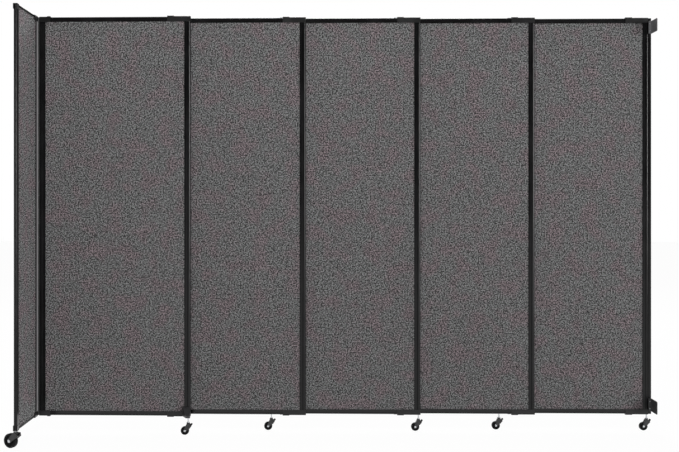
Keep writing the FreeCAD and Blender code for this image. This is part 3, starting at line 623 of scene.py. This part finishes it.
def model_wheel(caster, width):
    node = f"{caster}_wheel"
    low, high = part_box(node)
    middle = joint_spot(f"{caster}_roll")
    turn = turn_of(caster)
    radius = (high.z - low.z) / 2
    wheel = begin(bpy.ops.mesh.primitive_cylinder_add, f"{caster}_tyre", vertices=WHEEL_SIDES,
                  radius=radius, depth=width, location=middle, rotation=(math.pi / 2, 0, 0))

    def out_from_axis(spot):
        return math.hypot(spot.x - middle.x, spot.z - middle.z)

    def is_end(face):
        return abs(face.normal.y) > SQUARE_ON and out_from_axis(face.calc_center_median()) < HAIR

    def on_rim(edge):
        return abs(edge.verts[0].co.y - edge.verts[1].co.y) < HAIR

    pick(wheel, "EDGE", on_rim)
    shoulder = radius * SHOULDER_SHARE
    bpy.ops.mesh.bevel(offset=shoulder, segments=5)
    pick(wheel, "FACE", is_end)
    bpy.ops.mesh.inset(thickness=radius - shoulder - radius * RIM_SHARE)
    bpy.ops.mesh.inset(thickness=DISH_SLOPE)
    dish = width * DISH_SHARE
    bpy.ops.transform.shrink_fatten(value=-dish)
    rim = radius * RIM_SHARE - DISH_SLOPE
    bpy.ops.mesh.inset(thickness=rim - HUB_RADIUS)
    bpy.ops.mesh.inset(thickness=HUB_SLOPE)
    bpy.ops.transform.shrink_fatten(value=dish)
    bpy.ops.mesh.inset(thickness=HUB_RADIUS - HUB_SLOPE - BORE_RADIUS)
    bpy.ops.mesh.bridge_edge_loops()
    step = 2 * math.pi / WHEEL_SIDES

    def is_rib(face):
        spot = face.calc_center_median()
        flat = abs(face.normal.y) > SQUARE_ON
        web = HUB_RADIUS + WEB_MARGIN < out_from_axis(spot) < rim - WEB_MARGIN
        bearing = math.atan2(spot.z - middle.z, spot.x - middle.x) / step
        return flat and web and int(bearing % WHEEL_SIDES) % RIB_EVERY == 0

    ribs = pick(wheel, "FACE", is_rib)
    bpy.ops.mesh.extrude_region_shrink_fatten(TRANSFORM_OT_shrink_fatten={"value": dish * RIB_SHARE})
    # Without a window this operator turns the other way round, hence the minus.
    if turn:
        bpy.ops.mesh.select_all(action="SELECT")
        bpy.ops.transform.rotate(value=-turn, orient_axis="Z", center_override=middle)
    close(wheel, TYRE_RUBBER, BODY_OF[node], "wheel_black", node)
    print(wheel.name, "radius", round(radius, 4), "ribs", ribs)
    return wheel


print("sides of a wheel", WHEEL_SIDES)

# %% [markdown]
# Five casters are of one size, so one small wheel is modelled and copied four times. The end panel has a
# larger caster, whose wheel is modelled by itself and turned as its fork is.

# %% Six wheels
SMALL_WIDTH = 18 * MM
LARGE_WIDTH = 24 * MM
CASTERS = [node.removesuffix("_wheel") for node in BODY_OF if node.endswith("_caster_wheel")]
FIRST_SMALL = "panel_1_caster"
LARGE = "end_caster"
OTHER_SMALL = [caster for caster in CASTERS if caster not in (FIRST_SMALL, LARGE)]
small_wheel = model_wheel(FIRST_SMALL, SMALL_WIDTH)
model_wheel(LARGE, LARGE_WIDTH)
for caster in OTHER_SMALL:
    node = f"{caster}_wheel"
    offset = joint_spot(f"{caster}_roll") - joint_spot(f"{FIRST_SMALL}_roll")
    other = copied(small_wheel, f"{caster}_tyre", offset)
    dress(other, TYRE_RUBBER, BODY_OF[node], "wheel_black", node)
print("wheels", len(CASTERS))

# %% [markdown]
# The brake pedal ends in a rounded pad for the toe of a shoe, which is a separate moulding pressed over the
# tip of the arm. A ball would slip, so the pad is a short roll that lies across the arm: a cylinder whose
# rims are rounded over, with every second strip of its upper side raised as a grip.

# %% Pedal pads
PAD_SIDES = 24
PAD_WIDTH = 10.0 * MM
PAD_ROUNDING = 2.2 * MM
GRIP_HEIGHT = 0.5 * MM
FIRST_GRIP = -0.1
LAST_GRIP = 0.8 * math.pi
UP = Vector((0, 0, 1))


def model_pad(caster, radius, ahead, above):
    """A toe pad whose axis lies ahead of the pedal's pivot and above it."""
    turn = turn_of(caster)
    forward = Vector((math.cos(turn), math.sin(turn), 0))
    axis = Vector((-math.sin(turn), math.cos(turn), 0))
    middle = joint_spot(f"{caster}_brake") + forward * ahead + UP * above
    pad = begin(bpy.ops.mesh.primitive_cylinder_add, f"{caster}_pedal_pad", vertices=PAD_SIDES,
                radius=radius, depth=PAD_WIDTH, location=middle, rotation=(math.pi / 2, 0, turn))

    def on_rim(edge):
        return abs((edge.verts[0].co - edge.verts[1].co).dot(axis)) < HAIR

    pick(pad, "EDGE", on_rim)
    bpy.ops.mesh.bevel(offset=PAD_ROUNDING, segments=4)
    step = 2 * math.pi / PAD_SIDES

    def is_grip(face):
        side = abs(face.normal.dot(axis)) < 1 - SQUARE_ON
        bearing = math.atan2(face.normal.dot(UP), face.normal.dot(forward))
        every_second = round(bearing / step - 0.5) % 2 == 0
        return side and FIRST_GRIP < bearing < LAST_GRIP and every_second

    grips = pick(pad, "FACE", is_grip)
    bpy.ops.mesh.extrude_region_shrink_fatten(TRANSFORM_OT_shrink_fatten={"value": GRIP_HEIGHT})
    close(pad, PEDAL_PLASTIC, BODY_OF[f"{caster}_pedal"], "pedal_black")
    print(pad.name, "grips", grips)
    return pad


small_pad = model_pad(FIRST_SMALL, radius=5.0 * MM, ahead=6.2 * MM, above=9.3 * MM)
model_pad(LARGE, radius=6.2 * MM, ahead=7.0 * MM, above=12.8 * MM)
for caster in OTHER_SMALL:
    offset = joint_spot(f"{caster}_brake") - joint_spot(f"{FIRST_SMALL}_brake")
    other = copied(small_pad, f"{caster}_pedal_pad", offset)
    dress(other, PEDAL_PLASTIC, BODY_OF[f"{caster}_pedal"], "pedal_black")
print("pads", len(CASTERS))

# %% [markdown]
# Button head screws hold the sleeves, the hinge leaf and the wall brackets. One function turns a short
# cylinder into a head, with a rounded crown and a socket, facing any way. A row of screws is one piece: its
# first head is duplicated along the row in edit mode.

# %% Shape of a screw head
HEAD_SIDES = 16
CROWN_SHARE = 0.6
SOCKET_SHARE = 0.6
SOCKET_WALL = 0.8 * MM
SOCKET_SLOPE = 0.05 * MM


def begin_screw(name, spot, facing, radius, height):
    """Opens a screw head that stands on a spot, and leaves it open for editing with all of it selected."""
    head = begin(bpy.ops.mesh.primitive_cylinder_add, name, vertices=HEAD_SIDES, radius=radius, depth=height,
                 location=spot + facing * height / 2, rotation=facing.to_track_quat("Z", "Y").to_euler())
    crown = spot.dot(facing) + height

    def on_crown(part):
        return all(abs(vertex.co.dot(facing) - crown) < HAIR for vertex in part.verts)

    pick(head, "EDGE", on_crown)
    bpy.ops.mesh.bevel(offset=height * CROWN_SHARE, segments=3)
    pick(head, "FACE", on_crown)
    bpy.ops.mesh.inset(thickness=SOCKET_WALL)
    bpy.ops.mesh.inset(thickness=SOCKET_SLOPE)
    bpy.ops.transform.shrink_fatten(value=-height * SOCKET_SHARE)
    bpy.ops.mesh.select_all(action="SELECT")
    return head


def repeat_along(step, times):
    """Duplicates the selected head again and again, each time one step further."""
    for _ in range(times):
        bpy.ops.mesh.duplicate_move(TRANSFORM_OT_translate={"value": step})


print("sides of a screw head", HEAD_SIDES)

# %% [markdown]
# The right end of each panel has a row of screws on top of its sleeve and, mirrored, one below. The panels
# are alike, so the two rows of the first are copied to the others.

# %% Sleeve screws
SLEEVE_HEAD = 3.5 * MM
SLEEVE_HEAD_HEIGHT = 1.8 * MM
BOSS_RISE = 3.0 * MM
FIRST_SCREW = 37.0 * MM
SCREW_PITCH = 16.0 * MM
SCREWS_IN_ROW = 4


def panel_corner(number):
    """The right end of a panel at the middle of its depth and on top of its sleeve plates."""
    low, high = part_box(f"panel_{number}_posts")
    return Vector((high.x, (low.y + high.y) / 2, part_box(f"panel_{number}_guides")[1].z - BOSS_RISE))


guides_low, guides_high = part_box("panel_1_guides")
sleeve_middle = (guides_low + guides_high) / 2
start = panel_corner(1) - Vector((FIRST_SCREW, 0, 0))
sleeve_screws = begin_screw("panel_1_sleeve_screws", start, UP, SLEEVE_HEAD, SLEEVE_HEAD_HEIGHT)
repeat_along((-SCREW_PITCH, 0, 0), SCREWS_IN_ROW - 1)
bpy.ops.mesh.select_all(action="SELECT")
bpy.ops.mesh.duplicate()
bpy.ops.transform.resize(value=(1, 1, -1), center_override=sleeve_middle)
close(sleeve_screws, ZINC, "panel_1", "zinc")
for number in range(2, PANEL_COUNT + 1):
    offset = panel_corner(number) - panel_corner(1)
    other = copied(sleeve_screws, f"panel_{number}_sleeve_screws", offset)
    dress(other, ZINC, f"panel_{number}", "zinc")
print("sleeve screws", len(sleeve_screws.data.polygons), "faces on a panel")

# %% [markdown]
# The hinge leaf is screwed to the inner face of the end panel by a column of low heads, and each wall
# bracket is held to the wall strip by two.

# %% Hinge and bracket screws
LEAF_SCREWS = 12
LEAF_MARGIN = 60.0 * MM
LEAF_FROM_PIN = 2.0 * MM
LOW_HEAD = 3.0 * MM
LOW_HEAD_HEIGHT = 1.0 * MM
BRACKET_THICKNESS = 3.0 * MM
BRACKET_SPREAD = 20.0 * MM
ALONG = Vector((1, 0, 0))
TO_VIEWER = Vector((0, -1, 0))
leaf_low, leaf_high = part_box("hinge_swing_leaf")
hinge_spot = joint_spot("end_panel_hinge")
leaf_middle = (leaf_low.y + hinge_spot.y - BARREL_RADIUS) / 2
leaf_pitch = (leaf_high.z - leaf_low.z - 2 * LEAF_MARGIN) / (LEAF_SCREWS - 1)
start = Vector((hinge_spot.x - LEAF_FROM_PIN, leaf_middle, leaf_low.z + LEAF_MARGIN))
leaf_screws = begin_screw("hinge_leaf_screws", start, ALONG, LOW_HEAD, LOW_HEAD_HEIGHT)
repeat_along((0, 0, leaf_pitch), LEAF_SCREWS - 1)
close(leaf_screws, ZINC, "end_panel", "zinc")
strip_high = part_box("wall_strip")[1]
for place in ("upper", "lower"):
    node = f"wall_bracket_{place}"
    low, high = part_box(node)
    leg_middle = (low.x + strip_high.x) / 2
    leg_face = high.y - BRACKET_THICKNESS
    start = Vector((leg_middle, leg_face, (low.z + high.z) / 2 - BRACKET_SPREAD))
    screws = begin_screw(f"{node}_screws", start, TO_VIEWER, LOW_HEAD, LOW_HEAD_HEIGHT)
    repeat_along((0, 0, 2 * BRACKET_SPREAD), 1)
    close(screws, ZINC, BODY_OF[node], "zinc")
print("hinge screws", LEAF_SCREWS, "pitch", round(leaf_pitch, 3))

# %% [markdown]
# The stage is a white sweep without edges, with a pale paper floor. More light would wash out the object, so
# rays from the camera, and rays that reflect in the object or pass through it, see the floor mostly as plain
# white. The small share that is left keeps a faint shadow.

# %% Floor
FLOOR_SIZE = 60.0
PAPER_GREY = (0.93, 0.93, 0.93, 1)
PAPER_WHITE = (0.97, 0.97, 0.97, 1)
PATCHES_OF_PAPER = 0.7
PLAIN_SHARE = 0.97
bpy.ops.object.select_all(action="DESELECT")
bpy.ops.mesh.primitive_plane_add(size=FLOOR_SIZE)
floor = bpy.context.active_object
floor.name = "studio_floor"
floor_material, floor_shader, floor_place = start_finish("studio_floor")
paper = floor_place.noise(PATCHES_OF_PAPER).blend(PAPER_GREY, PAPER_WHITE)
connect(floor_shader, Base_Color=paper, Roughness=0.9, Specular_IOR_Level=0.0)
tree = floor_material.node_tree
seen = floor_place.add("ShaderNodeLightPath", {}, {}, "Is Camera Ray")
mirrored = floor_place.add("ShaderNodeLightPath", {}, {}, "Is Glossy Ray")
passed = floor_place.add("ShaderNodeLightPath", {}, {}, "Is Transmission Ray")
plain = seen.maths("MINIMUM", seen + mirrored + passed, 1.0) * PLAIN_SHARE
lit = Wire(tree, floor_shader.outputs["BSDF"])
white = floor_place.add("ShaderNodeEmission", {}, {})
skin = floor_place.add("ShaderNodeMixShader", {}, {0: plain, 1: lit, 2: white})
tree.links.new(skin.socket, tree.nodes["Material Output"].inputs["Surface"])
floor.data.materials.append(floor_material)
print("floor", FLOOR_SIZE, "m wide")

# %% [markdown]
# The world behind the floor is white to the camera. To every other ray it is a dim surround, so that it fills
# the shadows a little without lighting the object flat.

# %% World
SURROUND = 0.12
world = bpy.data.worlds.new("white_studio")
bpy.context.scene.world = world
world.use_nodes = True
sky = world.node_tree
background = sky.nodes["Background"]
background.inputs["Color"].default_value = (1, 1, 1, 1)
glow = Wire(sky, background.outputs["Background"])
strength = glow.add("ShaderNodeLightPath", {}, {}, "Is Camera Ray") * (1 - SURROUND) + SURROUND
sky.links.new(strength.socket, background.inputs["Strength"])
bpy.context.scene.view_settings.view_transform = "Standard"
print("surround", SURROUND)

# %% [markdown]
# The light on the object comes from the world's dim white surround and five soft boxes: two out at the
# sides, which draw bright lines along the rounded posts, one far off in front to the right, so that all
# panels get nearly the same light, one overhead, and one for the back.

# %% Light
CHEST = Vector((0, 0, 1.2))


def soft_box(name, place, width, height, power):
    """A rectangle of light that looks at the middle of the divider from its place."""
    data = bpy.data.lights.new(name, "AREA")
    data.shape = "RECTANGLE"
    data.size = width
    data.size_y = height
    data.energy = power
    lamp = bpy.data.objects.new(name, data)
    bpy.context.collection.objects.link(lamp)
    lamp.location = place
    lamp.rotation_euler = (CHEST - Vector(place)).to_track_quat("-Z", "Y").to_euler()


soft_box("left_side_box", place=(-6.5, -1.2, 1.3), width=3.0, height=2.4, power=50)
soft_box("right_side_box", place=(6.5, -1.2, 1.3), width=3.0, height=2.4, power=50)
soft_box("front_box", place=(72.0, -76.5, 6.6), width=27.0, height=27.0, power=54000)
soft_box("top_box", place=(-0.4, -7.0, 9.0), width=2.0, height=2.0, power=540)
soft_box("back_box", place=(0.0, 8.0, 7.0), width=4.0, height=3.0, power=600)
print("lights", len(bpy.data.lights))
